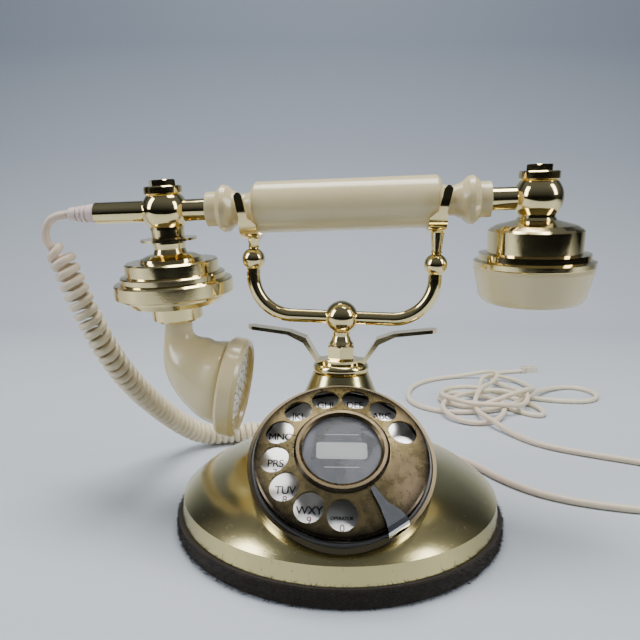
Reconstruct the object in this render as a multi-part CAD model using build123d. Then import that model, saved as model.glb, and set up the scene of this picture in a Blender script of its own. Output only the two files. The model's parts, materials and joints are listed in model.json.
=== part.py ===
from build123d import *
import math
import os

os.makedirs("parts", exist_ok=True)

# ---------------------------------------------------------------- driving sizes, mm and degrees
# base
base_rim_r = 80.0          # crease where the flare meets the skirt
skirt_spread = 1.1         # lower brass edge beyond the crease
skirt_bottom_z = 9.0
skirt_top_z = 17.6
shell_wall = 1.6
felt_spread = 3.0          # felt beyond the crease
felt_thickness = 1.8
base_ring_width = 5.1
floor_plate_thickness = 1.5
neck_top_r = 14.0
neck_top_z = 78.5
screw_inset = 8.0          # screw circle inside the crease
screw_count = 4
cord_port_z = 13.6
curly_port_deg = 104.0
line_port_deg = 62.0

# pedestal
neck_cap_r = 14.3
neck_cap_height = 5.0
bar_thickness = 1.8
bar_half_span = 47.5
bar_rise = 16.5
bar_depth = 9.0
nut_flats = 12.8
nut_height = 6.8
bush_r = 5.0
bush_depth = 15.5          # bush below the top of the neck

# cradle
cradle_yaw = 4.2
cradle_lean = 1.2
post_ball_r = 8.4
post_ball_rise = 27.9      # ball above the top of the neck
cradle_tube_r = 3.4
arm_span = 45.0
arm_bend_r = 20.0
arm_ball_r = 5.7
arm_ball_rise = 27.6       # arm balls above the post's ball
fork_width = 8.4
prong_width = 4.0
prong_thickness = 2.0
prong_splay = 10.0
plunger_r = 3.1
plunger_foot_z = 12.0
plunger_collar_r = 5.4
plunger_collar_z = 50.0
spring_seat_z = 24.0
spring_wire_r = 0.5

# dial
dial_y = -50.5
dial_z = 52.4
dial_tilt = 53.4           # the dial's face looks up by this angle above level
wheel_r = 38.1
hole_ring_r = 29.2
hole_r = 6.3
hole_count = 10
first_hole_deg = 22.0
hole_step_deg = 27.6
wheel_rise = 4.2           # cone height from the rim to the centre ring
wheel_sheet = 1.2
centre_ring_r = 21.5
card_r = 17.6
dial_shaft_r = 2.5
dial_cup_lip = 1.6         # cup beyond the finger wheel
housing_lip = 1.6          # housing beyond the cup
housing_wall = 1.5
number_plate_inset = 1.7   # number plate inside the finger wheel
stop_deg = -56.0
mechanism_depth = 24.0
main_gear_r = 16.0
cam_pinion_r = 4.0
cam_gear_r = 7.333
governor_pinion_r = 4.0
governor_drum_r = 6.5
gear_gap = 0.3

# handset
handset_rise = 27.7        # handle's axis above the arm balls
handset_shift = 1.4        # middle of the handle to the right of the pedestal
handset_yaw = 4.2
handset_tilt = 2.2
handset_roll = 5.0
head_toe_in = 1.1
head_spacing = 90.5        # handle middle to each clamp ball
rod_r = 5.4
rod_overhang = 35.8        # rod beyond the left clamp ball
ball_r = 11.6
clamp_ring_r = 9.3
grip_r = 12.4
grip_half = 43.6
handle_half = 68.4
receiver_r = 28.4
receiver_drum_r = 22.2
ear_cap_r = 28.0
ear_cap_bottom_r = 24.7
ear_cap_depth = 17.5
transmitter_r = 30.1
horn_tube_r = 7.1
mouth_r = 26.6
mouth_depth = 10.4
mouth_x = 21.2             # middle of the mouthpiece's joint, from the transmitter's ball
mouth_drop = 92.6
mouth_droop = 12.0

# cords
coil_r = 7.2
cord_r = 2.1
bundle_x = 153.0
bundle_y = 227.0
bundle_half_x = 91.0
bundle_half_y = 88.0
bundle_height = 24.0

# clearances
running_fit = 0.05
body_gap = 0.35

# ---------------------------------------------------------------- sizes that follow from those above
skirt_edge_r = base_rim_r + skirt_spread
felt_r = base_rim_r + felt_spread
screw_ring_r = base_rim_r - screw_inset
bush_bottom_z = neck_top_z - bush_depth
post_ball_z = neck_top_z + post_ball_rise
arm_ball_z = post_ball_z + arm_ball_rise
handset_z = arm_ball_z + handset_rise
dial_cup_r = wheel_r + dial_cup_lip
housing_r = dial_cup_r + housing_lip
number_plate_r = wheel_r - number_plate_inset
rod_left_end = head_spacing + rod_overhang


# ---------------------------------------------------------------- helpers
def save(shape, node):
    export_step(shape, "parts/" + node + ".step")


def turned(points):
    """Solid of revolution about Z from (radius, height) corners."""
    outline = Polyline(*[(r, 0, z) for r, z in points], close=True)
    return revolve(make_face(outline), Axis.Z, 360)


def rod(radius, z0, z1, x=0.0, y=0.0):
    """Upright cylinder between two heights."""
    return Pos(x, y, (z0 + z1) / 2) * Cylinder(radius, z1 - z0)


def tube(outer, inner, z0, z1, x=0.0, y=0.0):
    """Upright tube between two heights."""
    return rod(outer, z0, z1, x, y) - rod(inner, z0 - 1, z1 + 1, x, y)


def slab(x0, x1, y0, y1, z0, z1):
    """Box between two corners."""
    return Pos((x0 + x1) / 2, (y0 + y1) / 2, (z0 + z1) / 2) * Box(x1 - x0, y1 - y0, z1 - z0)


def inset(points, wall):
    """The same outline moved inwards by the wall, point by point."""
    moved = []
    for i, (r, z) in enumerate(points):
        r0, z0 = points[max(i - 1, 0)]
        r1, z1 = points[min(i + 1, len(points) - 1)]
        length = math.hypot(r1 - r0, z1 - z0)
        moved.append((r - wall * (z1 - z0) / length, z + wall * (r1 - r0) / length))
    return moved


def flare_body(points, lower_r, bottom_z):
    """Solid body of revolution under a curved flare."""
    z_top = points[-1][1]
    edges = [
        Line((0, 0, bottom_z), (lower_r, 0, bottom_z)),
        Line((lower_r, 0, bottom_z), (points[0][0], 0, points[0][1])),
        Spline(*[(r, 0, z) for r, z in points]),
        Line((points[-1][0], 0, z_top), (0, 0, z_top)),
        Line((0, 0, z_top), (0, 0, bottom_z)),
    ]
    return revolve(make_face(Wire(edges)), Axis.Z, 360)


def group(solids):
    return Compound(children=list(solids))


def gear(radius, teeth, z0, z1, bore):
    """Spur wheel with shallow teeth inside its radius."""
    blank = rod(radius, z0, z1) - rod(bore, z0 - 1, z1 + 1)
    notch = Pos(radius, 0, (z0 + z1) / 2) * Box(1.0, 0.5 * 2 * math.pi * radius / teeth, z1 - z0 + 2)
    for i in range(teeth):
        blank -= Rot(0, 0, 360 * i / teeth) * notch
    return blank


# ---------------------------------------------------------------- frames of the tilted groups
tilt = math.radians(dial_tilt)
dial_normal = (0, -math.cos(tilt), math.sin(tilt))
dial_frame_loc = Plane(origin=(0, dial_y, dial_z), x_dir=(1, 0, 0), z_dir=dial_normal).location

cradle_loc = (
    Rot(0, 0, -cradle_yaw)
    * Pos(0, 0, post_ball_z)
    * Rot(0, cradle_lean, 0)
    * Pos(0, 0, -post_ball_z)
)

handset_loc = (
    Pos(0, 0, handset_z)
    * Rot(0, 0, -handset_yaw)
    * Rot(0, -handset_tilt, 0)
    * Pos(handset_shift, 0, 0)
    * Rot(handset_roll, 0, 0)
)
receiver_loc = handset_loc * Pos(head_spacing, 0, 0) * Rot(0, head_toe_in, 0)
transmitter_loc = handset_loc * Pos(-head_spacing, 0, 0) * Rot(0, -head_toe_in, 0)

flare = [
    (base_rim_r, skirt_top_z),
    (0.881 * base_rim_r, 25.2),
    (0.755 * base_rim_r, 30.6),
    (0.575 * base_rim_r, 36.8),
    (0.42 * base_rim_r, 45.5),
    (0.30 * base_rim_r, 57.0),
    (0.235 * base_rim_r, 67.0),
    (neck_top_r, neck_top_z),
]
flare_inside = inset(flare, shell_wall)
flare_inside[0] = (base_rim_r - shell_wall - 0.6, skirt_top_z - 0.9)
flare_inside[-1] = (neck_top_r - shell_wall, neck_top_z)
plate_z = felt_thickness
plate_top = felt_thickness + floor_plate_thickness
bar_z = neck_top_z + neck_cap_height
nut_z = bar_z + bar_thickness
post_z = nut_z + nut_height + body_gap


def polar(radius, degrees, z):
    a = math.radians(degrees)
    return (radius * math.cos(a), radius * math.sin(a), z)


# ---------------------------------------------------------------- base
def base_shell():
    outside = flare_body(flare, skirt_edge_r, skirt_bottom_z)
    inside = flare_body(flare_inside, skirt_edge_r - shell_wall, skirt_bottom_z - 1)
    inside += rod(neck_top_r - shell_wall, neck_top_z - 6, neck_top_z + 1)
    housing = dial_frame_loc * Pos(0, 0, -32.2) * Cylinder(housing_r, 60)
    housing &= rod(base_rim_r, skirt_bottom_z, 120)
    bore = dial_frame_loc * Pos(0, 0, -30) * Cylinder(housing_r - housing_wall, 62)
    shell = outside + housing
    shell -= inside
    shell -= bore
    for port in (curly_port_deg, line_port_deg):
        hole = Rot(0, 0, port) * Pos(skirt_edge_r, 0, cord_port_z) * Rot(0, 90, 0) * Cylinder(3.2, 12)
        shell -= hole
    return shell


def base_ring():
    ring = tube(skirt_edge_r, skirt_edge_r - base_ring_width, plate_z, skirt_bottom_z)
    ring -= rod(skirt_edge_r - 1.5, plate_z - 1, plate_top)
    for i in range(screw_count):
        x, y, _ = polar(screw_ring_r + 1.0, 45 + 360 * i / screw_count, 0)
        ring += rod(4.2, plate_top, 15.0, x, y)
        ring -= rod(1.6, plate_z, 12.0, x, y)
    return ring


def felt_cover():
    cup = turned([
        (0, 0), (felt_r - 1.2, 0), (felt_r, 1.2), (felt_r, skirt_bottom_z - 0.6),
        (felt_r - 0.6, skirt_bottom_z), (skirt_edge_r, skirt_bottom_z), (skirt_edge_r, plate_z), (0, plate_z),
    ])
    for i in range(screw_count):
        x, y, _ = polar(screw_ring_r + 1.0, 45 + 360 * i / screw_count, 0)
        cup -= rod(4.0, -1, 3, x, y)
    return cup


def bottom_plate():
    plate = rod(skirt_edge_r - 1.5, plate_z, plate_top)
    for i in range(screw_count):
        x, y, _ = polar(screw_ring_r + 1.0, 45 + 360 * i / screw_count, 0)
        plate -= rod(1.6, 0, 6, x, y)
    for x in (-60, -28):
        for y in (-27, 7):
            plate += rod(2.2, plate_top - 0.5, 9.0, x, y)
    return plate


def base_screws():
    screws = []
    for i in range(screw_count):
        x, y, _ = polar(screw_ring_r + 1.0, 45 + 360 * i / screw_count, 0)
        head = rod(3.2, 0.5, plate_z, x, y) - slab(x - 4, x + 4, y - 0.4, y + 0.4, 0, 1.1)
        screws.append(head + rod(1.6, plate_z, 11.5, x, y))
    return group(screws)


def cord_grommets():
    parts = []
    for port in (curly_port_deg, line_port_deg):
        spool = turned([
            (cord_r, -3.0), (3.2, -3.0), (3.2, 0.6), (4.1, 0.6), (4.1, 1.6), (3.4, 2.2), (cord_r, 2.2),
        ])
        parts.append(Rot(0, 0, port) * Pos(skirt_edge_r - 0.9, 0, cord_port_z) * Rot(0, 90, 0) * spool)
    return group(parts)


# ---------------------------------------------------------------- pedestal
def neck_cap():
    half = neck_cap_height / 2
    mid = neck_top_z + half
    bead = Edge.make_three_point_arc(
        (neck_cap_r - 1.6, 0, neck_top_z), (neck_cap_r, 0, mid), (neck_cap_r - 1.6, 0, bar_z)
    )
    outline = [
        Line((bush_r, 0, neck_top_z), (neck_cap_r - 1.6, 0, neck_top_z)),
        bead,
        Line((neck_cap_r - 1.6, 0, bar_z), (bush_r, 0, bar_z)),
        Line((bush_r, 0, bar_z), (bush_r, 0, neck_top_z)),
    ]
    return revolve(make_face(Wire(outline)), Axis.Z, 360)


def carry_bar():
    t = bar_thickness
    top = bar_z + bar_rise
    side = []
    for s in (1, -1):
        upper = Polyline(
            (0, 0, bar_z), (s * 12.0, 0, bar_z), (s * 19.0, 0, bar_z + 10.0),
            (s * 27.0, 0, bar_z + 14.0), (s * bar_half_span, 0, top),
            (s * bar_half_span, 0, top + t), (s * 26.2, 0, bar_z + 14.0 + t),
            (s * 17.6, 0, bar_z + 10.8 + t), (s * 11.2, 0, bar_z + t), (0, 0, bar_z + t), close=True,
        )
        strip = extrude(make_face(upper), bar_depth / 2, dir=(0, 1, 0), both=True)
        end = slab(s * bar_half_span - 6, s * bar_half_span + 6, -12, 12, top - 6, top + 6)
        strip -= end - rod(bar_depth / 2 + 1.0, top - 8, top + 8, s * (bar_half_span - bar_depth / 2 - 1.0), 0)
        side.append(strip)
    bar = side[0] + side[1] + rod(10.0, bar_z, bar_z + t)
    bar -= rod(bush_r, bar_z - 1, bar_z + 5)
    return Rot(0, 0, -cradle_yaw) * bar


def gland_nut():
    hexagon = extrude(RegularPolygon(nut_flats / 2, 6, major_radius=False), nut_height)
    nut = Pos(0, 0, nut_z) * Rot(0, 0, 25) * hexagon
    nut &= turned([
        (0, nut_z), (6.6, nut_z), (7.5, nut_z + 0.8), (7.5, nut_z + nut_height - 0.8),
        (6.6, nut_z + nut_height), (0, nut_z + nut_height),
    ])
    return nut - rod(bush_r, nut_z - 1, nut_z + nut_height + 1)


def plunger_bush():
    bush = tube(bush_r, plunger_r + running_fit, bush_bottom_z, nut_z + nut_height - 1.2)
    flange = tube(neck_top_r - shell_wall, bush_r, neck_top_z - 3.0, neck_top_z)
    return bush + flange


# ---------------------------------------------------------------- cradle
def cradle_post():
    z0 = post_z
    body = turned([
        (0, z0), (6.0, z0), (6.2, z0 + 0.8), (5.2, z0 + 2.2), (4.3, z0 + 4.6),
        (4.4, z0 + 6.6), (5.6, z0 + 8.6), (0, z0 + 10.0),
    ])
    ball = Pos(0, 0, post_ball_z) * Sphere(post_ball_r)
    post = body + ball
    cross = Pos(0, 0, post_ball_z) * Rot(0, 90, 0) * Cylinder(cradle_tube_r, 40)
    post -= cradle_loc * cross
    post -= rod(1.7, post_ball_z + 5.0, post_ball_z + 12)
    post -= rod(plunger_r, z0 - 1, z0 + 5)
    return post


def post_screw():
    top = post_ball_z + math.sqrt(post_ball_r ** 2 - 1.7 ** 2)
    screw = rod(1.7, post_ball_z + 5.0, top - 0.3)
    return screw - slab(-2, 2, -0.3, 0.3, top - 0.9, top)


def cradle_tube():
    arm_top = arm_ball_z - math.sqrt(arm_ball_r ** 2 - cradle_tube_r ** 2)
    path = FilletPolyline(
        (-arm_span, 0, arm_top), (-arm_span, 0, post_ball_z), (arm_span, 0, post_ball_z),
        (arm_span, 0, arm_top), radius=arm_bend_r,
    )
    profile = Plane(origin=(-arm_span, 0, arm_top), z_dir=(0, 0, -1)) * Circle(cradle_tube_r)
    return cradle_loc * sweep(profile, path=path)


def arm_balls():
    drop = math.sqrt(arm_ball_r ** 2 - cradle_tube_r ** 2)
    balls = []
    for s in (-1, 1):
        ball = Pos(s * arm_span, 0, arm_ball_z) * Sphere(arm_ball_r)
        ball -= slab(s * arm_span - 9, s * arm_span + 9, -9, 9, arm_ball_z - 12, arm_ball_z - drop)
        ball -= slab(s * arm_span - 9, s * arm_span + 9, -9, 9, arm_ball_z + 5.2, arm_ball_z + 12)
        balls.append(cradle_loc * ball)
    return group(balls)


def cradle_forks():
    """Each fork is a U seen from its end, trimmed to a wide saddle and two narrow prongs."""
    forks = []
    inner = grip_r + 0.8
    outer = inner + prong_thickness
    for s in (-1, 1):
        axis_z = handset_z + s * (arm_span - s * handset_shift) * math.tan(math.radians(handset_tilt))
        tip_z = axis_z + 6.5
        ring = Pos(0, 0, axis_z) * Rot(0, 90, 0) * (Cylinder(outer, 40) - Cylinder(inner, 50))
        u_shape = ring - slab(-30, 30, -40, 40, axis_z, axis_z + 40)
        u_shape += slab(-20, 20, inner, outer, axis_z, tip_z)
        u_shape += slab(-20, 20, -outer, -inner, axis_z, tip_z)
        half = fork_width / 2
        lean = math.tan(math.radians(prong_splay))
        low = axis_z - outer
        foot = 0.0
        tip = s * lean * (tip_z - low)
        knee = s * lean * 9.0
        outline = Polyline(
            (foot - half, 0, low - 1), (foot + half, 0, low - 1), (foot + half, 0, low + 7.0),
            (knee + prong_width / 2, 0, low + 10.0), (tip + prong_width / 2, 0, tip_z - 1.5),
            (tip + prong_width / 2 - 1.4, 0, tip_z), (tip - prong_width / 2 + 1.4, 0, tip_z),
            (tip - prong_width / 2, 0, tip_z - 1.5), (knee - prong_width / 2, 0, low + 10.0),
            (foot - half, 0, low + 7.0), close=True,
        )
        window = extrude(make_face(outline), 30, dir=(0, 1, 0), both=True)
        fork = u_shape & window
        ball_top = arm_ball_z + 5.2
        stem_top = low + 0.6 + s * arm_span * math.sin(math.radians(cradle_lean))
        # the stem stands upright on the ball, inside the leaning cradle frame
        stem = turned([
            (0, ball_top), (2.3, ball_top), (2.9, ball_top + 0.8), (2.4, ball_top + 1.6),
            (3.4, stem_top), (0, stem_top),
        ])
        placed = Rot(0, 0, -cradle_yaw) * Pos(s * arm_span, 0, 0) * fork
        upright = cradle_loc * Pos(s * arm_span, 0, 0) * stem
        forks.append(placed + upright)
    return group(forks)


def plunger_rod():
    stem = rod(plunger_r, plunger_foot_z + 1.2, post_z + 5)
    stem += rod(2.2, plunger_foot_z, plunger_foot_z + 1.2)
    collar = rod(plunger_collar_r, plunger_collar_z, plunger_collar_z + 1.6)
    return stem + collar


def plunger_spring():
    coil_mid_r = 4.4
    z0 = spring_seat_z + spring_wire_r
    z1 = plunger_collar_z - spring_wire_r
    helix = Helix(pitch=(z1 - z0) / 8, height=z1 - z0, radius=coil_mid_r)
    start = Plane(origin=helix @ 0, z_dir=helix % 0)
    wire = sweep(start * Circle(spring_wire_r), path=helix, is_frenet=True)
    return Pos(0, 0, z0) * wire


# ---------------------------------------------------------------- dial, built flat and then tilted
def wheel_profile(radius):
    """Height of the finger wheel's lower face at a radius."""
    return wheel_rise * (wheel_r - radius) / (wheel_r - centre_ring_r)


def finger_wheel():
    r_flat = centre_ring_r - 0.6
    h_flat = wheel_profile(r_flat)
    hub_h = h_flat - 1.6
    plate = turned([
        (dial_shaft_r, hub_h), (card_r, hub_h), (card_r, h_flat), (r_flat, h_flat),
        (wheel_r - 1.2, 0.3), (wheel_r - 1.2, -1.6), (wheel_r, -1.6), (wheel_r, 0.9),
        (wheel_r - 0.8, wheel_sheet + 0.2), (r_flat, h_flat + wheel_sheet), (card_r, h_flat + wheel_sheet),
        (card_r - 0.01, hub_h + wheel_sheet), (dial_shaft_r, hub_h + wheel_sheet),
    ])
    for i in range(hole_count):
        x, y, _ = polar(hole_ring_r, first_hole_deg + hole_step_deg * i, 0)
        plate -= rod(hole_r, -4, 12, x, y)
    return dial_frame_loc * plate


def centre_ring():
    base_h = wheel_profile(centre_ring_r - 0.6) + wheel_sheet
    ring = turned([
        (card_r, base_h), (centre_ring_r - 0.7, base_h), (centre_ring_r - 0.7, base_h + 0.5),
        (centre_ring_r - 1.8, base_h + 1.6), (centre_ring_r - 3.2, base_h + 1.6),
        (card_r - 0.6, base_h + 0.9), (card_r - 0.6, base_h + 0.2), (card_r, base_h + 0.2),
    ])
    return dial_frame_loc * ring


def card_height():
    return wheel_profile(centre_ring_r - 0.6) - 1.6 + wheel_sheet


def number_card():
    h = card_height()
    return dial_frame_loc * rod(card_r - 0.3, h, h + 0.6)


def card_window():
    h = card_height() + 0.6
    top = wheel_profile(centre_ring_r - 0.6) + wheel_sheet + 0.2
    return dial_frame_loc * rod(card_r - 0.1, h, top)


def dial_shaft():
    top = card_height()
    shaft = rod(dial_shaft_r, -mechanism_depth - 1.0, top)
    collar = rod(4.5, -12.6, -10.0)
    return dial_frame_loc * (shaft + collar)


def main_gear():
    return dial_frame_loc * gear(main_gear_r, 48, -14.0, -12.6, dial_shaft_r)


def dial_cup():
    cup = turned([
        (dial_shaft_r + 1.2, -9.5), (dial_cup_r, -9.5), (dial_cup_r, -2.0), (dial_cup_r - 0.6, -1.4),
        (wheel_r + 0.35, -1.4), (wheel_r + 0.35, -2.6), (wheel_r - 0.9, -2.6), (wheel_r - 0.9, -8.0),
        (dial_shaft_r + 1.2, -8.0),
    ])
    flange = tube(housing_r - housing_wall, dial_cup_r - 0.4, -6.0, -4.5)
    return dial_frame_loc * (cup + flange)


def number_plate():
    plate = turned([
        (16.0, -4.6), (number_plate_r, -4.6), (number_plate_r, -3.8), (16.0, -3.8),
    ])
    posts = []
    for i in range(3):
        x, y, _ = polar(18.5, 30 + 120 * i, 0)
        plate += rod(1.5, -8.0, -4.6, x, y)
    return dial_frame_loc * plate


def finger_stop():
    """Chrome hook: foot outside the wheel, bent over the rim, tapering inwards."""
    side = Polyline(
        (22.0, 0, 6.6), (30.0, 0, 5.0), (38.4, 0, 3.6), (40.2, 0, 2.4), (40.7, 0, 0.6), (40.7, 0, -1.4),
        (39.0, 0, -1.4), (39.0, 0, 0.8), (38.2, 0, 2.0), (30.0, 0, 3.9), (22.0, 0, 5.9), close=True,
    )
    blade = extrude(make_face(side), 8, dir=(0, 1, 0), both=True)
    plan = Polyline(
        (21.6, -0.9), (21.6, 0.9), (30.0, 1.8), (36.0, 4.6), (41.5, 5.4), (41.5, -5.4), (36.0, -3.4),
        (30.0, -1.9), close=True,
    )
    blade &= extrude(make_face(plan), 12, both=True)
    return dial_frame_loc * Rot(0, 0, stop_deg) * blade


def dial_frame():
    plate = rod(34.0, -mechanism_depth, -mechanism_depth + 1.4)
    plate -= rod(dial_shaft_r + running_fit, -mechanism_depth - 1, -mechanism_depth + 3)
    for i in range(3):
        x, y, _ = polar(29.0, 70 + 100 * i, 0)
        if i == 1:
            x, y, _ = polar(29.0, 150, 0)
        if i == 2:
            x, y, _ = polar(29.0, 300, 0)
        plate += rod(2.2, -mechanism_depth + 1.0, -9.5, x, y)
    for x, y in (cam_centre, governor_centre):
        plate -= rod(1.2 + running_fit, -mechanism_depth - 1, -mechanism_depth + 3, x, y)
    return dial_frame_loc * plate


cam_centre = polar(main_gear_r + cam_pinion_r + gear_gap, 200, 0)[:2]
governor_centre = (
    cam_centre[0] + (cam_gear_r + governor_pinion_r + gear_gap) * math.cos(math.radians(250)),
    cam_centre[1] + (cam_gear_r + governor_pinion_r + gear_gap) * math.sin(math.radians(250)),
)


def impulse_cam():
    arbor = rod(1.2, -mechanism_depth - 0.6, -10.6)
    pinion = gear(cam_pinion_r, 12, -14.2, -12.4, 0.6)
    disc = rod(4.4, -17.4, -16.0) - Pos(4.4, 0, -16.7) * Box(2.0, 2.0, 3)
    disc -= Pos(-4.4, 0, -16.7) * Box(2.0, 2.0, 3)
    wheel = gear(cam_gear_r, 22, -20.6, -19.4, 0.6)
    return dial_frame_loc * Pos(*cam_centre, 0) * (arbor + pinion + disc + wheel)


def governor():
    arbor = rod(1.2, -mechanism_depth - 0.6, -10.6)
    pinion = gear(governor_pinion_r, 12, -20.8, -19.2, 0.6)
    fly = rod(governor_drum_r, -17.6, -16.6)
    weights = slab(-5.6, -2.6, -3.0, 3.0, -16.6, -12.6) + slab(2.6, 5.6, -3.0, 3.0, -16.6, -12.6)
    weights += slab(-2.7, 2.7, -0.5, 0.5, -14.2, -13.2)
    return dial_frame_loc * Pos(*governor_centre, 0) * (arbor + pinion + fly + weights)


def pulse_springs():
    block = slab(12.0, 18.0, -13.0, -7.0, -mechanism_depth + 1.4, -15.0)
    leaves = slab(-14.0, 12.5, -10.6, -9.0, -18.6, -18.3)
    leaves += slab(-12.0, 12.5, -10.6, -9.0, -17.3, -17.0)
    return dial_frame_loc * (block + leaves)


# ---------------------------------------------------------------- inside the base
def switch_bracket():
    foot = slab(5.0, 15.5, -9, 9, plate_top, plate_top + 1.2)
    web = slab(14.0, 15.5, -9, 9, plate_top, spring_seat_z)
    shelf = slab(-8.0, 15.5, -9, 9, spring_seat_z - 1.5, spring_seat_z)
    return (foot + web + shelf) - rod(plunger_r + 0.5, 10, 30)


def switch_springs():
    pile = slab(-22.0, -13.0, -4.0, 4.0, plate_top, 12.6)
    pile += slab(-13.5, 3.5, -2.5, 2.5, plunger_foot_z - body_gap - 0.4, plunger_foot_z - body_gap)
    pile += slab(-13.5, 1.0, -2.5, 2.5, 9.4, 9.8)
    pile += slab(-13.5, -1.0, -2.5, 2.5, 7.2, 7.6)
    pile += rod(0.9, 9.8, 10.2, 0, 0)
    return pile


def ringer_bracket():
    plate = slab(-36, 36, 26, 66, plate_top, plate_top + 1.5)
    for s in (-1, 1):
        plate += rod(3.0, plate_top + 1.0, 20.8, s * gong_x, gong_y)
    plate += rod(1.2, plate_top + 1.0, 21.0, 0, pivot_y)
    return plate


gong_x = 24.0
gong_y = 34.0
gong_r = 17.0
pivot_y = 50.3


def gongs():
    cups = []
    for s in (-1, 1):
        cup = turned([
            (2.0, 20.8), (9.0, 20.8), (14.4, 18.6), (gong_r - 1.2, 12.0), (gong_r, 12.0),
            (15.6, 19.4), (9.6, 22.0), (2.0, 22.0),
        ])
        cups.append(Pos(s * gong_x, gong_y, 0) * cup)
    return group(cups)


def gong_screws():
    return group([
        rod(2.0, 20.8, 22.0, s * gong_x, gong_y) + rod(3.6, 22.0, 23.8, s * gong_x, gong_y)
        for s in (-1, 1)
    ])


def ringer_coils():
    coils = []
    for s in (-1, 1):
        reel = rod(6.5, plate_top + 1.5, plate_top + 2.5, s * 9.0, 60.0)
        reel += rod(5.6, plate_top + 2.0, 18.6, s * 9.0, 60.0)
        reel += rod(6.5, 18.6, 19.6, s * 9.0, 60.0)
        coils.append(reel)
    return group(coils)


def ringer_clapper():
    hub = tube(3.0, 1.2 + running_fit, 12.6, 18.2, 0, pivot_y)
    bar = slab(-9.0, 9.0, pivot_y - 0.8, pivot_y + 0.8, 13.2, 17.6)
    bar -= rod(1.2 + running_fit, 10, 22, 0, pivot_y)
    arm = slab(-0.7, 0.7, gong_y, pivot_y - 2.4, 14.8, 16.2)
    ball = Pos(0, gong_y, 15.5) * Sphere(2.6)
    return hub + bar + arm + ball


def network_board():
    board = slab(-64, -24, -31, 11, 9.0, 10.6)
    return board


def board_parts():
    parts = slab(-60, -42, -28, -8, 10.6, 23.0)
    parts += slab(-42, -30, -26, -14, 10.6, 16.0)
    parts += rod(4.6, 10.6, 22.0, -50, 0)
    parts += rod(3.4, 10.6, 17.0, -38, 2)
    parts += slab(-33, -27, -10, 8, 10.6, 15.0)
    for x, y in ((-30, -7), (-30, -1), (-30, 5)):
        parts += rod(1.8, 15.0, 16.2, x, y)
    parts += slab(-42, -38, -20, -18, 10.6, 12.0)
    return parts


# ---------------------------------------------------------------- handset, axis along local X
def along_x(shape):
    """Turned shape laid down so that its axis runs along local X."""
    return Rot(0, 90, 0) * shape


def handset_rod():
    bar = along_x(rod(rod_r, -rod_left_end, head_spacing + 7.0))
    return handset_loc * bar


def handle_grip():
    half = []
    outline = [
        (rod_r, handle_half), (8.5, handle_half), (8.5, 63.4), (10.0, 62.6), (11.6, 60.4),
        (11.2, 58.0), (8.6, 55.0), (7.2, 51.6), (7.0, 49.0), (7.9, 46.0), (11.2, 44.8),
        (grip_r, grip_half - 0.2), (grip_r, 0.0),
    ]
    mirrored = [(r, -z) for r, z in reversed(outline[:-1])]
    handle = along_x(turned(outline + mirrored))
    return handset_loc * handle


def head_pairs():
    return ((1, receiver_loc), (-1, transmitter_loc))


def ball_clamps():
    balls = []
    for s, loc in head_pairs():
        ball = Sphere(ball_r)
        ball -= slab(-20, 20, -20, 20, 8.2, 20)
        ball -= slab(-20, 20, -20, 20, -20, -7.6)
        ball += rod(8.6, -9.0, -7.0)
        placed = loc * ball
        bore_loc = handset_loc * Pos(s * head_spacing, 0, 0) * Rot(0, 90, 0)
        if s > 0:
            placed -= bore_loc * Pos(0, 0, -6.5) * Cylinder(rod_r, 27)
        else:
            placed -= bore_loc * Cylinder(rod_r, 60)
        balls.append(placed)
    return group(balls)


def knurled_rings():
    rings = []
    for s, loc in head_pairs():
        ring = turned([
            (0, 8.2), (clamp_ring_r - 0.5, 8.2), (clamp_ring_r, 8.7), (clamp_ring_r, 11.7),
            (clamp_ring_r - 0.5, 12.2), (0, 12.2),
        ])
        for i in range(36):
            ring -= Rot(0, 0, 10 * i) * Pos(clamp_ring_r + 0.15, 0, 10.2) * Box(0.7, 0.6, 3.0)
        ring -= rod(2.5, 8, 13)
        rings.append(loc * ring)
    return group(rings)


def clamp_bolts():
    bolts = []
    for s, loc in head_pairs():
        hexagon = extrude(RegularPolygon(5.7, 6, major_radius=False), 3.0)
        bolt = Pos(0, 0, 12.2) * Rot(0, 0, 12 if s > 0 else 2) * hexagon
        bolt &= turned([(0, 12.2), (6.6, 12.2), (6.6, 14.6), (6.0, 15.2), (0, 15.2)])
        bolt += rod(2.5, 8.2, 12.2)
        bolts.append(loc * bolt)
    return group(bolts)


def receiver_shell():
    r, d = receiver_r, receiver_drum_r
    shell = turned([
        (0, -9.0), (8.6, -9.0), (9.4, -10.2), (13.0, -11.2), (18.5, -12.6), (d - 1.0, -14.2), (d, -15.2),
        (d, -25.2), (26.0, -25.8), (26.2, -28.6), (r, -29.4), (r, -31.6), (r - 0.5, -32.2),
        (r - 3.4, -32.2), (24.0, -27.4), (d - 1.5, -26.4), (d - 1.5, -16.0), (8.0, -12.0), (0, -12.0),
    ])
    return receiver_loc * shell


def receiver_cap():
    top = -32.2
    bottom = top - ear_cap_depth
    r1, r2 = ear_cap_r, ear_cap_bottom_r
    cap = turned([
        (r1 - 4.0, top), (r1, top), (r1 + 0.1, top - 1.6), (r2 + 0.4, bottom + 3.0), (r2 - 1.2, bottom + 0.8),
        (r2 - 3.4, bottom), (12.0, bottom + 1.4), (0, bottom + 2.6), (0, bottom + 4.6), (11.0, bottom + 3.6),
        (r2 - 3.6, bottom + 2.4), (r1 - 4.0, top - 3.0),
    ])
    for count, radius in ((1, 0.0), (6, 4.0), (12, 8.0)):
        for i in range(count):
            x, y, _ = polar(radius, 360 * i / count, 0)
            cap -= rod(0.9, bottom - 2, bottom + 8, x, y)
    return receiver_loc * cap


def receiver_capsule():
    capsule = turned([
        (0, -28.0), (d_capsule, -28.0), (d_capsule, -30.0), (20.0, -30.0), (20.0, -34.0), (16.0, -38.0),
        (0, -38.0),
    ])
    top = rod(8.0, -28.0, -12.0)
    return receiver_loc * (capsule + top)


d_capsule = 20.6


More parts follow.
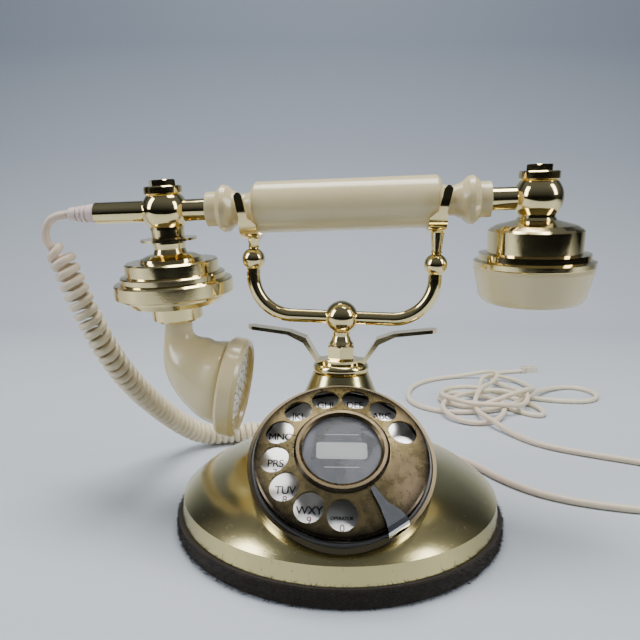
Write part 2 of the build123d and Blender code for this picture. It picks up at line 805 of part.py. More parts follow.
def transmitter_washer():
    return transmitter_loc * tube(14.2, 8.2, -14.6, -13.4)


def transmitter_shell():
    r = transmitter_r
    neck = turned([
        (0, -9.0), (8.3, -9.0), (8.2, -12.0), (8.2, -16.0), (7.8, -18.6), (8.6, -21.0), (12.0, -21.6),
        (15.6, -23.2), (16.0, -24.6), (22.6, -24.6), (23.6, -25.4), (23.6, -30.8), (26.0, -31.2),
        (26.6, -31.8), (26.6, -34.4), (r - 0.8, -34.6), (r, -35.4), (r, -41.4), (r - 0.8, -42.2),
        (25.2, -42.2), (25.2, -36.4), (21.6, -33.0), (21.6, -27.0), (0, -27.0),
    ])
    return transmitter_loc * neck


def horn_collar():
    piece = turned([
        (0, -39.0), (25.2, -39.0), (25.2, -44.0), (23.0, -46.6), (14.0, -47.4), (13.0, -48.6), (12.9, -54.4),
        (11.6, -55.6), (horn_tube_r, -55.6), (horn_tube_r, -50.0), (0, -50.0),
    ])
    return transmitter_loc * piece


def microphone_capsule():
    return transmitter_loc * (rod(20.0, -39.0, -31.0) + rod(12.0, -31.0, -27.0))


def horn_sections():
    """Centre, radius and turn of each cross-section, from the collar to the mouthpiece."""
    return (
        ((0.0, -56.2), horn_tube_r, 0.0),
        ((-0.5, -60.5), horn_tube_r + 0.2, 3.0),
        ((-0.9, -65.6), 8.3, 12.0),
        ((0.6, -72.4), 12.2, 30.0),
        ((5.4, -81.0), 17.0, 52.0),
        ((12.2, -87.8), 20.4, 68.0),
        ((mouth_x, -mouth_drop), 21.8, 90.0 - mouth_droop),
    )


def horn():
    faces = []
    hollow = []
    for (x, z), radius, turn in horn_sections():
        spot = Pos(x, 0, z) * Rot(0, 180 - turn, 0)
        faces.append(spot * Circle(radius))
        hollow.append(spot * Circle(radius - 1.8))
    neck = tube(horn_tube_r, horn_tube_r - 1.8, -56.2, -50.0)
    return transmitter_loc * (neck + (loft(faces) - loft(hollow)))


mouth_loc = transmitter_loc * Pos(mouth_x, 0, -mouth_drop) * Rot(0, 90 + mouth_droop, 0)


def mouthpiece_cup():
    r = mouth_r
    d = mouth_depth
    cup = turned([
        (20.0, 0), (21.8, 0), (r - 1.2, 0.5), (r, 2.0), (r, d - 2.2), (r - 1.0, d - 0.6), (r - 2.6, d),
        (r - 3.8, d - 0.8), (r - 4.2, d - 2.4), (r - 4.2, d - 4.0), (20.0, 2.0),
    ])
    return mouth_loc * cup


def mouthpiece_grille():
    d = mouth_depth
    r = mouth_r - 4.2
    disc = rod(r, d - 4.0, d - 2.4)
    disc -= Pos(0, 0, d + 36.5) * Sphere(39.3)
    for count, radius in ((1, 0.0), (6, 4.6), (12, 9.1), (18, 13.5), (24, 17.9)):
        for i in range(count):
            x, y, _ = polar(radius, 360 * i / count, 0)
            disc -= rod(0.95, d - 6, d, x, y)
    return mouth_loc * disc


def strain_sleeve():
    end = rod_left_end
    boot = along_x(turned([
        (0, -end - 14.4), (2.9, -end - 14.4), (3.3, -end - 13.6), (4.8, -end - 1.4), (4.8, -end), (0, -end),
    ]))
    for i in range(3):
        groove = along_x(tube(6.0, 3.9 - 0.3 * i, -end - 5.2 - 2.6 * i, -end - 4.2 - 2.6 * i))
        boot -= groove
    return handset_loc * boot


# ---------------------------------------------------------------- cords
def corner_radii(points):
    radii = []
    for i in range(1, len(points) - 1):
        a = Vector(*points[i]) - Vector(*points[i - 1])
        b = Vector(*points[i + 1]) - Vector(*points[i])
        turn = math.radians(a.get_angle(b))
        radii.append(0.45 * min(a.length, b.length) / math.tan(turn / 2))
    return radii


def cord(points, radius, name):
    radii = corner_radii(points)
    lengths = [(Vector(*points[i + 1]) - Vector(*points[i])).length for i in range(len(points) - 1)]
    print(name, "runs", [round(v, 1) for v in lengths], "radii", [round(v, 1) for v in radii])
    path = FilletPolyline(*points, radius=radii)
    first = Vector(*points[1]) - Vector(*points[0])
    profile = Plane(origin=points[0], z_dir=first) * Circle(radius)
    solid = sweep(profile, path=path)
    print(name, "length", round(path.length, 1), "volume ratio",
          round(solid.volume / (math.pi * radius ** 2 * path.length), 4))
    return solid


lead_start = (handset_loc * Pos(-rod_left_end - 14.4 - body_gap, 0, 0)).position
lead_bend = (handset_loc * Pos(-rod_left_end - 24.0, 0, 0)).position
lead_route = [
    (lead_start.X, lead_start.Y, lead_start.Z),
    (lead_bend.X, lead_bend.Y, lead_bend.Z),
    (-153.6, 11.4, 147.0),
    (-150.4, 10.8, 138.6),
]
coil_route = [
    (-145.6, 10.6, 138.0),
    (-141.0, 10.6, 124.0),
    (-134.4, 13.6, 104.0),
    (-127.6, 22.0, 82.0),
    (-120.6, 37.0, 61.0),
    (-113.6, 58.0, 42.0),
    (-106.0, 81.0, 23.5),
    (-93.0, 101.0, coil_r + 0.2),
    (-70.0, 110.0, coil_r + 0.2),
    (-47.0, 111.0, coil_r + 0.2),
]
base_lead_route = [
    (-47.0, 111.0, coil_r + 0.2),
    (-38.0, 110.4, coil_r + 0.6),
    (-28.0, 105.0, 9.6),
    (-23.0, 96.0, 12.4),
    polar(skirt_edge_r + 1.3, curly_port_deg, cord_port_z),
]
line_route = [
    polar(skirt_edge_r + 1.3, line_port_deg, cord_port_z),
    polar(96.0, 61.0, 12.0),
    (64.0, 90.0, 3.2),
    (86.0, 72.0, cord_r + 0.05),
    (98.0, 44.0, cord_r + 0.05),
    (119.0, 21.0, cord_r + 0.05),
    (150.0, 9.0, cord_r + 0.05),
    (184.0, 4.0, cord_r + 0.05),
    (214.0, 10.0, cord_r + 0.05),
    (232.0, 30.0, cord_r + 0.05),
    (226.0, 56.0, cord_r + 0.05),
    (202.0, 74.0, cord_r + 0.05),
    (168.0, 90.0, cord_r + 0.05),
    (142.0, 106.0, cord_r + 0.05),
    (129.0, 130.0, cord_r + 0.05),
    (126.0, 146.0, cord_r + 0.05),
]
tail_route = [
    (158.0, 305.0, cord_r + 0.05),
    (167.0, 321.0, cord_r + 0.05),
    (182.0, 332.0, cord_r + 0.05),
    (200.0, 337.0, cord_r + 0.05),
]


def cord_bundle():
    hank = Pos(bundle_x, bundle_y, 0) * extrude(Ellipse(bundle_half_x, bundle_half_y), bundle_height)
    hank = fillet(hank.edges().filter_by(GeomType.ELLIPSE).sort_by(Axis.Z)[-1:], 11)
    return hank


def line_plug():
    body = slab(0, 12.0, -5.9, 5.9, 0, 6.6) + slab(-4.0, 0, -3.2, 3.2, 0.6, 5.6)
    latch = slab(1.0, 11.0, -2.4, 2.4, 6.6, 7.6)
    plug = body + latch
    a = Vector(*tail_route[-1]) - Vector(*tail_route[-2])
    return Pos(tail_route[-1][0], tail_route[-1][1], 0) * Rot(0, 0, math.degrees(math.atan2(a.Y, a.X))) * Pos(4.0, 0, 0) * plug


# ---------------------------------------------------------------- write every node
save(base_shell(), "base_shell")
save(base_ring(), "base_ring")
save(felt_cover(), "felt_cover")
save(bottom_plate(), "bottom_plate")
save(base_screws(), "base_screws")
save(cord_grommets(), "cord_grommets")
save(neck_cap(), "neck_cap")
save(carry_bar(), "carry_bar")
save(gland_nut(), "gland_nut")
save(plunger_bush(), "plunger_bush")
save(cradle_post(), "cradle_post")
save(post_screw(), "post_screw")
save(cradle_tube(), "cradle_tube")
save(arm_balls(), "arm_balls")
save(cradle_forks(), "cradle_forks")
save(plunger_rod(), "plunger_rod")
save(plunger_spring(), "plunger_spring")
save(finger_wheel(), "finger_wheel")
save(centre_ring(), "centre_ring")
save(number_card(), "number_card")
save(card_window(), "card_window")
save(dial_shaft(), "dial_shaft")
save(main_gear(), "main_gear")
save(dial_cup(), "dial_cup")
save(number_plate(), "number_plate")
save(finger_stop(), "finger_stop")
save(dial_frame(), "dial_frame")
save(impulse_cam(), "impulse_cam")
save(governor(), "governor")
save(pulse_springs(), "pulse_springs")
save(switch_bracket(), "switch_bracket")
save(switch_springs(), "switch_springs")
save(ringer_bracket(), "ringer_bracket")
save(gongs(), "gongs")
save(gong_screws(), "gong_screws")
save(ringer_coils(), "ringer_coils")
save(ringer_clapper(), "ringer_clapper")
save(network_board(), "network_board")
save(board_parts(), "board_parts")
save(handset_rod(), "handset_rod")
save(handle_grip(), "handle_grip")
save(ball_clamps(), "ball_clamps")
save(knurled_rings(), "knurled_rings")
save(clamp_bolts(), "clamp_bolts")
save(receiver_shell(), "receiver_shell")
save(receiver_cap(), "receiver_cap")
save(receiver_capsule(), "receiver_capsule")
save(transmitter_washer(), "transmitter_washer")
save(transmitter_shell(), "transmitter_shell")
save(horn_collar(), "horn_collar")
save(microphone_capsule(), "microphone_capsule")
save(horn(), "horn")
save(mouthpiece_cup(), "mouthpiece_cup")
save(mouthpiece_grille(), "mouthpiece_grille")
save(strain_sleeve(), "strain_sleeve")
save(group([cord(lead_route, cord_r, "handset_lead"), cord(base_lead_route, cord_r, "base_lead")]), "cord_leads")
save(cord(coil_route, coil_r, "handset_coil"), "handset_coil")
save(group([cord(line_route, cord_r, "line_cord"), cord(tail_route, cord_r, "line_tail")]), "line_cord")
save(cord_bundle(), "cord_bundle")
save(line_plug(), "line_plug")
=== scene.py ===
import json
import math
import random

import bmesh
import bpy
from mathutils import Matrix, Vector


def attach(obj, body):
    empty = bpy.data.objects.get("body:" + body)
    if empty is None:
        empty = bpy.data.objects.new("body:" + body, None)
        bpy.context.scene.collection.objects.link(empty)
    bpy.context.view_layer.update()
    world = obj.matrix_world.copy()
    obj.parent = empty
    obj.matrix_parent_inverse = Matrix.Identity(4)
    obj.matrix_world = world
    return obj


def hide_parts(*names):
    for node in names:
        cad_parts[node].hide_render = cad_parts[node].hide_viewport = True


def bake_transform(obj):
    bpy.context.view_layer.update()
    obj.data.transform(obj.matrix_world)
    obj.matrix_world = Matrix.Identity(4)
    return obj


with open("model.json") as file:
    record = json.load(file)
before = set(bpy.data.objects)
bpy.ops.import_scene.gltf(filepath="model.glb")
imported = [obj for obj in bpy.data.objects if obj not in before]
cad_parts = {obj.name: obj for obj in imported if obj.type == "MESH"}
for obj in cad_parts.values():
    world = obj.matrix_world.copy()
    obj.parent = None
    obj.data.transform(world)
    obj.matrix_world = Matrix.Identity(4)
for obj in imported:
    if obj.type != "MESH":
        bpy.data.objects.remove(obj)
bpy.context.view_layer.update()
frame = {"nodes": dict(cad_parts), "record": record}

MM = 0.001
UP = Vector((0, 0, 1))


# ---------------------------------------------------------------- camera
def aimed(place, yaw, pitch, roll):
    """Camera matrix at a place; yaw turns right of straight ahead, pitch looks down, roll leans."""
    right = Vector((math.cos(yaw), -math.sin(yaw), 0))
    level = Vector((math.sin(yaw), math.cos(yaw), 0))
    ahead = math.cos(pitch) * level - math.sin(pitch) * UP
    above = math.sin(pitch) * level + math.cos(pitch) * UP
    side = math.cos(roll) * right + math.sin(roll) * above
    top = -math.sin(roll) * right + math.cos(roll) * above
    turn = Matrix((side, top, -ahead)).transposed().to_4x4()
    return Matrix.Translation(place) @ turn


camera_data = bpy.data.cameras.new("camera")
camera_data.sensor_width = 36.0
camera_data.lens = 33.75
camera_data.shift_y = 0.0305
camera_data.clip_start = 0.01
camera = bpy.data.objects.new("camera", camera_data)
camera.matrix_world = aimed(Vector((-4.84, -298.82, 148.77)) * MM, yaw=-0.0198, pitch=0.1783, roll=0.0073)
bpy.context.collection.objects.link(camera)
bpy.context.scene.camera = camera


# ---------------------------------------------------------------- where the tilted groups stand
def turn_about(axis, degrees):
    return Matrix.Rotation(math.radians(degrees), 4, axis)


def shift(x, y, z):
    return Matrix.Translation(Vector((x, y, z)) * MM)


DIAL_TILT = math.radians(53.4)
dial_centre = Vector((0, -50.5, 52.4)) * MM
dial_up = Vector((0, math.sin(DIAL_TILT), math.cos(DIAL_TILT)))
dial_out = Vector((0, -math.cos(DIAL_TILT), math.sin(DIAL_TILT)))
dial_turn = Matrix((Vector((1, 0, 0)), dial_up, dial_out)).transposed().to_4x4()
dial_place = Matrix.Translation(dial_centre) @ dial_turn
handset_place = (
    shift(0, 0, 161.7) @ turn_about("Z", -4.2) @ turn_about("Y", -2.2) @ shift(1.4, 0, 0) @ turn_about("X", 5)
)


# ---------------------------------------------------------------- shader maths
class Field:
    """A number or colour that varies over a surface. Its operators add Math nodes."""

    def __init__(self, finish, socket):
        self.finish = finish
        self.socket = socket

    def maths(self, operation, *terms):
        return self.finish.node("ShaderNodeMath", {"operation": operation}, dict(enumerate(terms)))

    def __add__(self, other):
        return self.maths("ADD", self, other)

    __radd__ = __add__

    def __sub__(self, other):
        return self.maths("SUBTRACT", self, other)

    def __rsub__(self, other):
        return self.maths("SUBTRACT", other, self)

    def __mul__(self, other):
        return self.maths("MULTIPLY", self, other)

    __rmul__ = __mul__


class Finish:
    """One material in the making: its Principled shader, and one way to add any other node."""

    def __init__(self, name, constants):
        self.material = bpy.data.materials.new(name)
        self.material.use_nodes = True
        self.tree = self.material.node_tree
        self.shader = self.tree.nodes["Principled BSDF"]
        self.set(constants)
        self.place = self.node("ShaderNodeTexCoord", {}, {}, "Object")

    def plug(self, socket, value):
        if isinstance(value, Field):
            self.tree.links.new(value.socket, socket)
        else:
            socket.default_value = value

    def set(self, sockets):
        for name, value in sockets.items():
            self.plug(self.shader.inputs[name], value)

    def node(self, kind, settings, sockets, output=0):
        made = self.tree.nodes.new(kind)
        for name, value in settings.items():
            setattr(made, name, value)
        for name, value in sockets.items():
            self.plug(made.inputs[name], value)
        return Field(self, made.outputs[output])

    def noise(self, scale, detail=3.0, roughness=0.55, at=None):
        """Soft noise from 0 to 1, about one blotch every 1 / scale metres."""
        sockets = {"Vector": at or self.place, "Scale": scale, "Detail": detail, "Roughness": roughness}
        return self.node("ShaderNodeTexNoise", {}, sockets)

    def band(self, value, low, high, at_low=0.0, at_high=1.0):
        """The value mapped from low..high to at_low..at_high, and held there outside."""
        sockets = {"Value": value, "From Min": low, "From Max": high, "To Min": at_low, "To Max": at_high}
        return self.node("ShaderNodeMapRange", {"clamp": True}, sockets)

    def blend(self, share, first, second):
        """Colour between first and second; a share of 1 is all second."""
        settings = {"data_type": "RGBA", "blend_type": "MIX"}
        return self.node("ShaderNodeMix", settings, {0: share, 6: first, 7: second}, 2)

    def vector(self, operation, *terms, output=0):
        return self.node("ShaderNodeVectorMath", {"operation": operation}, dict(enumerate(terms)), output)

    def stretched(self, x, y, z):
        """Object position with each axis scaled, for streaks."""
        return self.vector("MULTIPLY", self.place, (x, y, z))

    def part(self, axis):
        """One coordinate of the object position."""
        return self.node("ShaderNodeSeparateXYZ", {}, {"Vector": self.place}, axis)

    def bump(self, height, distance, strength):
        """Surface relief of a height field; distance is in metres."""
        sockets = {"Height": height, "Distance": distance, "Strength": strength}
        return self.node("ShaderNodeBump", {}, sockets)


def rgba(red, green, blue):
    return (red, green, blue, 1.0)


def polished_gold(name, light, deep, roughness):
    """Lacquered mirror brass with finger smears and fine rubbing."""
    finish = Finish(name, {"Metallic": 1.0})
    smear = finish.band(finish.noise(55, 5), 0.42, 0.72)
    rub = finish.noise(260, 4, at=finish.stretched(1, 1, 7))
    finish.set({
        "Base Color": finish.blend(finish.noise(38), light, deep),
        "Roughness": smear * 0.10 + rub * 0.05 + roughness,
        "Normal": finish.bump(finish.noise(900, 2), 0.00002, 0.35),
    })
    return finish


def round_distance(finish, centre, axis):
    """Distance of each point from an axis through a centre."""
    arm = finish.vector("SUBTRACT", finish.place, tuple(centre))
    along = finish.vector("DOT_PRODUCT", arm, tuple(axis), output="Value")
    lift = finish.node(
        "ShaderNodeVectorMath", {"operation": "SCALE"}, {0: tuple(axis), "Scale": along}
    )
    flat = finish.vector("SUBTRACT", arm, lift)
    return finish.vector("LENGTH", flat, output="Value")


def satin_base():
    """Pale satin brass of the flared base, with worn dark specks round its rim and a painted shade ring where
    it meets the dial.
    """
    finish = Finish("satin_base_brass", {"Metallic": 1.0})
    height = finish.part("Z")
    cloud = finish.noise(22, 5)
    fine = finish.noise(240, 4, at=finish.stretched(1, 1, 9))
    near_rim = finish.band(height, 0.0135, 0.0180) * finish.band(height, 0.030, 0.021)
    skirt = finish.band(height, 0.020, 0.012)
    speck = finish.band(finish.noise(520, 4, 0.7), 0.64, 0.70)
    scratch = finish.band(finish.noise(900, 2, at=finish.stretched(1, 1, 0.08)), 0.66, 0.72)
    worn = (speck * near_rim * 0.8) + (scratch * skirt * 0.5) + (speck * skirt * 0.3)
    tone = finish.blend(cloud, rgba(0.68, 0.59, 0.30), rgba(0.50, 0.42, 0.19))
    # painted shade: a near-black ring on the base within about 42 mm of the dial centre, where it meets the
    # dial
    arm = finish.vector("SUBTRACT", finish.place, tuple(dial_centre))
    from_dial = finish.vector("LENGTH", arm, output="Value")
    dial_ring_shade = finish.band(from_dial, 0.0424, 0.0417)
    soiled = finish.blend(worn, tone, rgba(0.13, 0.09, 0.045))
    finish.set({
        "Base Color": finish.blend(dial_ring_shade * 0.97, soiled, rgba(0.035, 0.027, 0.018)),
        "Roughness": cloud * 0.08 + fine * 0.06 + worn * 0.30 + 0.13,
        "Normal": finish.bump(fine + speck * near_rim * -0.5, 0.00002, 0.4),
    })
    return finish


def dial_brass(name, rim_radius, dark, light, shade):
    """Old dial brass: brown and purple patina, with painted shade that is darkest at its edge."""
    finish = Finish(name, {"Metallic": 1.0})
    reach = round_distance(finish, dial_centre, dial_out)
    # painted shade: the outer edge, where the rim turns down, is blended towards near-black by the share dark
    edge = finish.band(reach, rim_radius - 0.0050, rim_radius - 0.0008)
    stain = finish.band(finish.noise(75, 4, 0.5), 0.40, 0.72)
    fleck = finish.band(finish.noise(650, 3, 0.7), 0.62, 0.68)
    lower = finish.band(finish.part("X") - finish.part("Z") * 0.6, -0.020, 0.012)
    brown = finish.blend(finish.band(finish.noise(38, 4), 0.30, 0.70), light, shade)
    aged = finish.blend(stain * lower * 0.75, brown, rgba(0.27, 0.18, 0.15))
    worn = finish.blend(fleck * 0.8, aged, rgba(0.06, 0.045, 0.03))
    finish.set({
        "Base Color": finish.blend(edge * dark, worn, rgba(0.045, 0.035, 0.025)),
        "Roughness": finish.noise(300, 5) * 0.22 + stain * 0.08 + 0.14,
        "Normal": finish.bump(finish.noise(1100, 4, 0.7), 0.00003, 0.5),
    })
    return finish


def ivory_plastic(name, tone, shade, roughness):
    """Glossy moulded ivory plastic, a little yellowed and mottled."""
    finish = Finish(name, {
        "Subsurface Weight": 0.12, "Subsurface Radius": (0.004, 0.0025, 0.0012), "Subsurface Scale": 1.0,
        "Coat Weight": 0.25, "Coat Roughness": 0.08, "IOR": 1.5,
    })
    cloud = finish.noise(26, 4)
    fine = finish.noise(480, 3)
    grime = finish.band(finish.noise(160, 6, 0.7), 0.64, 0.74)
    finish.set({
        "Base Color": finish.blend(grime * 0.25, finish.blend(cloud, tone, shade), rgba(0.34, 0.27, 0.15)),
        "Roughness": fine * 0.10 + cloud * 0.08 + roughness,
        "Normal": finish.bump(fine, 0.00002, 0.35),
    })
    return finish


def jacket(name, tone, shade, pink, pink_from, pink_to):
    """Cord jacket that turns pinkish towards one end, between two distances from a point."""
    finish = Finish(name, {
        "Subsurface Weight": 0.08, "Subsurface Radius": (0.003, 0.002, 0.001), "IOR": 1.48,
    })
    cloud = finish.noise(60, 4)
    grime = finish.band(finish.noise(210, 5, 0.7), 0.60, 0.76)
    arm = finish.vector("SUBTRACT", finish.place, tuple(pink))
    near = finish.band(finish.vector("LENGTH", arm, output="Value"), pink_to, pink_from)
    clean = finish.blend(cloud, tone, shade)
    old = finish.blend(grime * 0.35, clean, rgba(0.42, 0.34, 0.22))
    finish.set({
        "Base Color": finish.blend(near * 0.7, old, rgba(0.66, 0.50, 0.42)),
        "Roughness": finish.noise(700, 3) * 0.14 + cloud * 0.10 + 0.24,
        "Normal": finish.bump(finish.noise(600, 3), 0.00004, 0.4),
    })
    return finish


def plain_metal(name, tone, shade, roughness, grain=(1, 1, 1)):
    """Machined, cast or plated metal with a fine grain."""
    finish = Finish(name, {"Metallic": 1.0})
    fine = finish.noise(700, 4, 0.6, at=finish.stretched(*grain))
    finish.set({
        "Base Color": finish.blend(finish.noise(90, 4), tone, shade),
        "Roughness": fine * 0.16 + finish.noise(45, 4) * 0.10 + roughness,
        "Normal": finish.bump(fine, 0.00002, 0.5),
    })
    return finish


def moulded(name, tone, shade, roughness, grain_scale=900):
    """Moulded or laminated plastic with a fine surface grain."""
    finish = Finish(name, {"IOR": 1.5})
    fine = finish.noise(grain_scale, 3)
    finish.set({
        "Base Color": finish.blend(finish.noise(120, 4), tone, shade),
        "Roughness": fine * 0.16 + finish.noise(60, 4) * 0.10 + roughness,
        "Normal": finish.bump(fine, 0.00004, 0.5),
    })
    return finish


def dark_felt():
    """Dark brown pile felt with lint and dust."""
    finish = Finish("base_felt", {"Sheen Weight": 0.15, "Sheen Roughness": 0.6, "Specular IOR Level": 0.08})
    pile = finish.noise(1500, 5, 0.7)
    dust = finish.band(finish.noise(420, 5, 0.75), 0.60, 0.74)
    base = finish.blend(finish.noise(120, 5), rgba(0.026, 0.017, 0.010), rgba(0.010, 0.007, 0.005))
    finish.set({
        "Base Color": finish.blend(dust * 0.35, base, rgba(0.11, 0.085, 0.06)),
        "Roughness": pile * 0.15 + 0.85,
        "Normal": finish.bump(pile, 0.0006, 0.9),
    })
    return finish


def number_enamel():
    """Bright satin number plate behind the finger wheel."""
    finish = Finish("number_plate_satin", {})
    cloud = finish.noise(70, 4)
    finish.set({
        "Metallic": finish.band(cloud, 0.3, 0.7, 0.55, 0.75),
        "Base Color": finish.blend(cloud, rgba(0.80, 0.80, 0.79), rgba(0.66, 0.66, 0.66)),
        "Roughness": finish.noise(500, 4) * 0.12 + 0.24,
        "Normal": finish.bump(finish.noise(900, 3), 0.00002, 0.4),
    })
    return finish


def slate_card():
    """Printed dial card, grey-blue and paler towards its edge."""
    finish = Finish("slate_card", {})
    reach = round_distance(finish, dial_centre, dial_out)
    fibre = finish.noise(800, 4)
    tone = finish.blend(finish.band(reach, 0.002, 0.018), rgba(0.105, 0.11, 0.14), rgba(0.21, 0.215, 0.25))
    finish.set({
        "Base Color": finish.blend(fibre * 0.25, tone, rgba(0.30, 0.31, 0.34)),
        "Roughness": fibre * 0.15 + 0.38,
        "Normal": finish.bump(fibre, 0.00002, 0.4),
    })
    return finish


def clear_window():
    """Clear cover: see-through, with a gloss that grows towards its edge."""
    finish = Finish("clear_window", {"Base Color": rgba(0.95, 0.97, 1.0), "IOR": 1.45})
    smear = finish.band(finish.noise(90, 5), 0.35, 0.75)
    finish.set({"Roughness": smear * 0.05 + 0.02})
    clear = finish.node("ShaderNodeBsdfTransparent", {}, {"Color": rgba(0.97, 0.975, 0.98)})
    gloss = finish.node("ShaderNodeFresnel", {}, {"IOR": 1.45})
    gloss_share = gloss * 0.9 + smear * 0.02
    mixed = finish.node("ShaderNodeMixShader", {}, {0: gloss_share, 1: clear})
    mix = mixed.socket.node
    finish.tree.links.new(finish.shader.outputs[0], mix.inputs[2])
    finish.tree.links.new(mix.outputs[0], finish.tree.nodes["Material Output"].inputs["Surface"])
    return finish


def printed(name, tone, shade):
    """Printing ink, slightly uneven."""
    finish = Finish(name, {"Specular IOR Level": 0.3})
    uneven = finish.noise(1400, 4, 0.7)
    finish.set({
        "Base Color": finish.blend(uneven, tone, shade),
        "Roughness": uneven * 0.2 + 0.4,
        "Normal": finish.bump(uneven, 0.00001, 0.4),
    })
    return finish


# ---------------------------------------------------------------- finishes of the pieces
bright_gold = polished_gold("bright_gold", rgba(0.88, 0.74, 0.40), rgba(0.80, 0.64, 0.30), 0.05)
base_brass = satin_base()
# the 0.95 below is the share of painted shade at each dial part's outer edge
wheel_brass = dial_brass("wheel_brass", 0.0381, 0.95, rgba(0.36, 0.285, 0.14), rgba(0.20, 0.155, 0.075))
ring_brass = dial_brass("ring_brass", 0.0215, 0.95, rgba(0.13, 0.10, 0.05), rgba(0.06, 0.045, 0.025))
ivory = ivory_plastic("ivory_plastic", rgba(0.71, 0.61, 0.36), rgba(0.63, 0.52, 0.28), 0.14)
sleeve_plastic = moulded("sleeve_plastic", rgba(0.74, 0.62, 0.58), rgba(0.66, 0.53, 0.48), 0.35)
handset_jacket = jacket(
    "handset_cord_jacket", rgba(0.78, 0.69, 0.50), rgba(0.70, 0.60, 0.41),
    Vector((-150, 8, 160)) * MM, 0.012, 0.060,
)
line_jacket = jacket(
    "line_cord_jacket", rgba(0.76, 0.69, 0.52), rgba(0.67, 0.59, 0.42), Vector((60, 90, 5)) * MM, 0.050, 0.170
)
felt = dark_felt()
black_plastic = moulded("black_moulding", rgba(0.018, 0.017, 0.016), rgba(0.030, 0.028, 0.026), 0.22)
chrome = plain_metal("stop_chrome", rgba(0.72, 0.72, 0.73), rgba(0.60, 0.60, 0.62), 0.03)
zinc = plain_metal("zinc_plate", rgba(0.56, 0.56, 0.55), rgba(0.42, 0.42, 0.42), 0.22, grain=(1, 1, 8))
cut_brass = plain_metal("cut_brass", rgba(0.72, 0.58, 0.30), rgba(0.58, 0.45, 0.22), 0.18, grain=(6, 1, 1))
spring_metal = plain_metal("spring_metal", rgba(0.70, 0.67, 0.60), rgba(0.55, 0.52, 0.46), 0.20)
winding = moulded("taped_winding", rgba(0.30, 0.09, 0.04), rgba(0.20, 0.06, 0.03), 0.45)
laminate = moulded("board_laminate", rgba(0.05, 0.16, 0.08), rgba(0.07, 0.20, 0.10), 0.40)
component = moulded("board_component", rgba(0.20, 0.16, 0.11), rgba(0.08, 0.08, 0.09), 0.35)
plug_plastic = moulded("plug_plastic", rgba(0.70, 0.66, 0.54), rgba(0.62, 0.57, 0.45), 0.12)
plate_silver = number_enamel()
card_slate = slate_card()
window_clear = clear_window()
letter_ink = printed("letter_ink", rgba(0.012, 0.012, 0.013), rgba(0.030, 0.030, 0.030))
digit_ink = printed("digit_ink", rgba(0.22, 0.03, 0.03), rgba(0.10, 0.02, 0.02))
label_white = printed("label_white", rgba(0.80, 0.80, 0.78), rgba(0.70, 0.70, 0.68))

FINISH_OF_SLOT = {
    "aged_brass": base_brass, "dial_brass": wheel_brass, "bright_brass": bright_gold, "ivory": ivory,
    "felt": felt, "black_plastic": black_plastic, "steel": zinc, "chrome": chrome,
    "plate_enamel": plate_silver, "card": card_slate, "window": window_clear, "gear_brass": cut_brass,
    "contact_metal": spring_metal, "coil_winding": winding, "board": laminate, "board_parts": component,
    "sleeve": sleeve_plastic, "cord": line_jacket, "plug": plug_plastic,
}
FINISH_OF_NODE = {
    "centre_ring": ring_brass, "neck_cap": bright_gold, "gland_nut": bright_gold, "carry_bar": bright_gold,
}

for part in frame["record"]["subparts"]:
    name = part["node"]
    finish = FINISH_OF_NODE.get(name, FINISH_OF_SLOT[part["material_slot"]])
    node = frame["nodes"][name]
    for place in node.material_slots:
        place.material = finish.material


# ---------------------------------------------------------------- making pieces
def piece(name, mesh_or_curve, finish):
    made = bpy.data.objects.new(name, mesh_or_curve)
    mesh_or_curve.materials.append(finish.material)
    bpy.context.collection.objects.link(made)
    return made


def mesh_from(name, fill):
    """A mesh that the fill function builds in a bmesh."""
    shape = bmesh.new()
    fill(shape)
    mesh = bpy.data.meshes.new(name)
    shape.to_mesh(mesh)
    shape.free()
    return mesh


# ---------------------------------------------------------------- cords
CORD = 4.2 * MM
CORD_SIDES = 12
COIL_RADIUS = 5.1 * MM


def metres(points):
    return [Vector(point) * MM for point in points]


def round_base(radius, degrees, height):
    angle = math.radians(degrees)
    return (radius * math.cos(angle), radius * math.sin(angle), height)


def smooth_line(name, points):
    """An open smooth curve that the points pull into shape."""
    curve = bpy.data.curves.new(name, "CURVE")
    curve.dimensions = "3D"
    curve.resolution_u = 10
    spline = curve.splines.new("NURBS")
    spline.points.add(len(points) - 1)
    for control, at in zip(spline.points, points):
        control.co = (*at, 1.0)
    spline.order_u = 3
    spline.use_endpoint_u = True
    return curve


def points_along(curve):
    """Points read from a curve that has no thickness."""
    holder = bpy.data.objects.new("route", curve)
    mesh = bpy.data.meshes.new_from_object(holder)
    points = [vertex.co.copy() for vertex in mesh.vertices]
    bpy.data.objects.remove(holder)
    bpy.data.meshes.remove(mesh)
    return points


def even_steps(points, step):
    """The same line as points an even step apart."""
    spaced = [points[0]]
    left = step
    for start, end in zip(points, points[1:]):
        span = (end - start).length
        while span >= left:
            start = start.lerp(end, left / span)
            span -= left
            spaced.append(start)
            left = step
        left -= span
    spaced.append(points[-1])
    return spaced


def frames_along(points, first_side):
    """(forward, side, other side) at each point, turning as little as it can."""
    frames = []
    side = first_side
    for i in range(len(points)):
        forward = (points[min(i + 1, len(points) - 1)] - points[max(i - 1, 0)]).normalized()
        side = (side - forward * side.dot(forward)).normalized()
        frames.append((forward, side, forward.cross(side)))
    return frames


def tube_mesh(name, points, radius, sides):
    """A closed tube along points."""
    def fill(shape):
        rings = []
        for at, (_, side, other) in zip(points, frames_along(points, Vector((0.3, 0.9, 0.2)))):
            angles = [2 * math.pi * i / sides for i in range(sides)]
            rings.append([
                shape.verts.new(at + radius * (math.cos(a) * side + math.sin(a) * other)) for a in angles
            ])
        for ring, following in zip(rings, rings[1:]):
            for i in range(sides):
                j = (i + 1) % sides
                face = shape.faces.new((ring[i], ring[j], following[j], following[i]))
                face.smooth = True
        shape.faces.new(reversed(rings[0]))
        shape.faces.new(rings[-1])
    return mesh_from(name, fill)


def line_length(points):
    return sum((b - a).length for a, b in zip(points, points[1:]))


